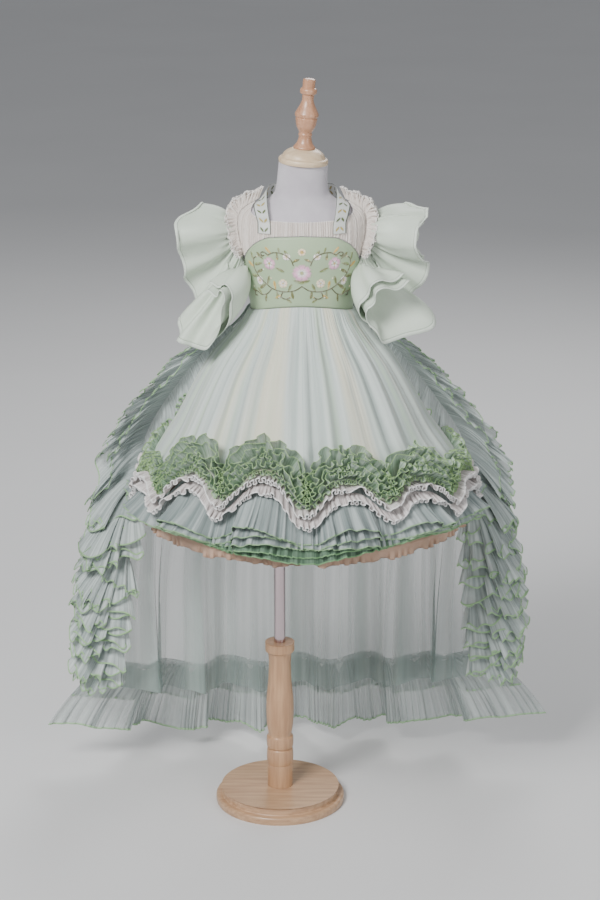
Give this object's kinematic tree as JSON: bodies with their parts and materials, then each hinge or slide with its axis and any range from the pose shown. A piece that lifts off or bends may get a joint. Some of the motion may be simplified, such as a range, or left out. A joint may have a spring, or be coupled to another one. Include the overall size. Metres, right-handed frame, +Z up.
{
  "type": "evening gown on a limbless dress form with a stand",
  "caption": "Child's evening gown in satin and layered tulle with flounced hem, ruffled train and wide sleeve flounces, on a limbless dress form with a turned wooden stand.",
  "frame": {"origin": "middle of the underside of the stand's round base, on the floor", "axes": "+Z up along the pole, -Y the way the gown's front faces, +X to the right of a viewer who looks at the front"},
  "size_m": [0.8694, 0.5781, 1.2381],
  "materials": {
    "beech": "clear-lacquered turned beech, fine straight grain, satin",
    "pale_beech": "pale lacquered beech with turning marks, satin",
    "stained_beech": "warm-stained turned beech, satin lacquer",
    "pole_chrome": "polished steel tube with a faint warm tint",
    "form_jersey": "off-white knitted jersey stretched over padding, matt",
    "green_satin": "sage green satin, soft sheen",
    "mint_taffeta": "pale mint stiff taffeta, low sheen",
    "ribbon_organza": "white organza ribbon with woven edges",
    "cream_tulle": "cream and blush tulle, pleated, matt",
    "overskirt_tulle": "layered grey-green tulle over cream, matt, streaked by its gathers",
    "under_tulle": "dark grey-green tulle, matt",
    "flounce_tulle": "blue-green tulle with a rolled pale green edge, matt",
    "garland_tulle": "green-edged tulle ruffles, matt",
    "train_tulle": "sheer dark grey-green tulle, matt",
    "peach_lining": "peach cotton lining, matt"
  },
  "bodies": {
    "root": {"base": "beech", "column": "beech", "pole": "pole_chrome", "form_torso": "form_jersey", "neck_cap": "pale_beech", "finial": "stained_beech", "bodice_front": "green_satin", "bodice_back_left": "green_satin", "bodice_back_right": "green_satin", "yoke_front": "cream_tulle", "yoke_back_left": "cream_tulle", "yoke_back_right": "cream_tulle", "neck_ribbon": "ribbon_organza", "armhole_frill_left": "cream_tulle", "armhole_frill_right": "cream_tulle", "sleeve_left_outer": "mint_taffeta", "sleeve_left_inner": "mint_taffeta", "sleeve_right_outer": "mint_taffeta", "sleeve_right_inner": "mint_taffeta", "skirt_lining": "peach_lining", "overskirt": "overskirt_tulle", "hem_under_flounce": "under_tulle", "hem_flounce": "flounce_tulle", "hem_frill_lower": "cream_tulle", "hem_frill_upper": "cream_tulle", "hem_garland": "garland_tulle", "train_panel": "train_tulle", "train_flounce_lower": "flounce_tulle", "train_flounce_upper": "flounce_tulle", "train_cascade_left_outer": "garland_tulle", "train_cascade_left_inner": "garland_tulle", "train_cascade_right_outer": "garland_tulle", "train_cascade_right_inner": "garland_tulle"}
  },
  "joints": []
}
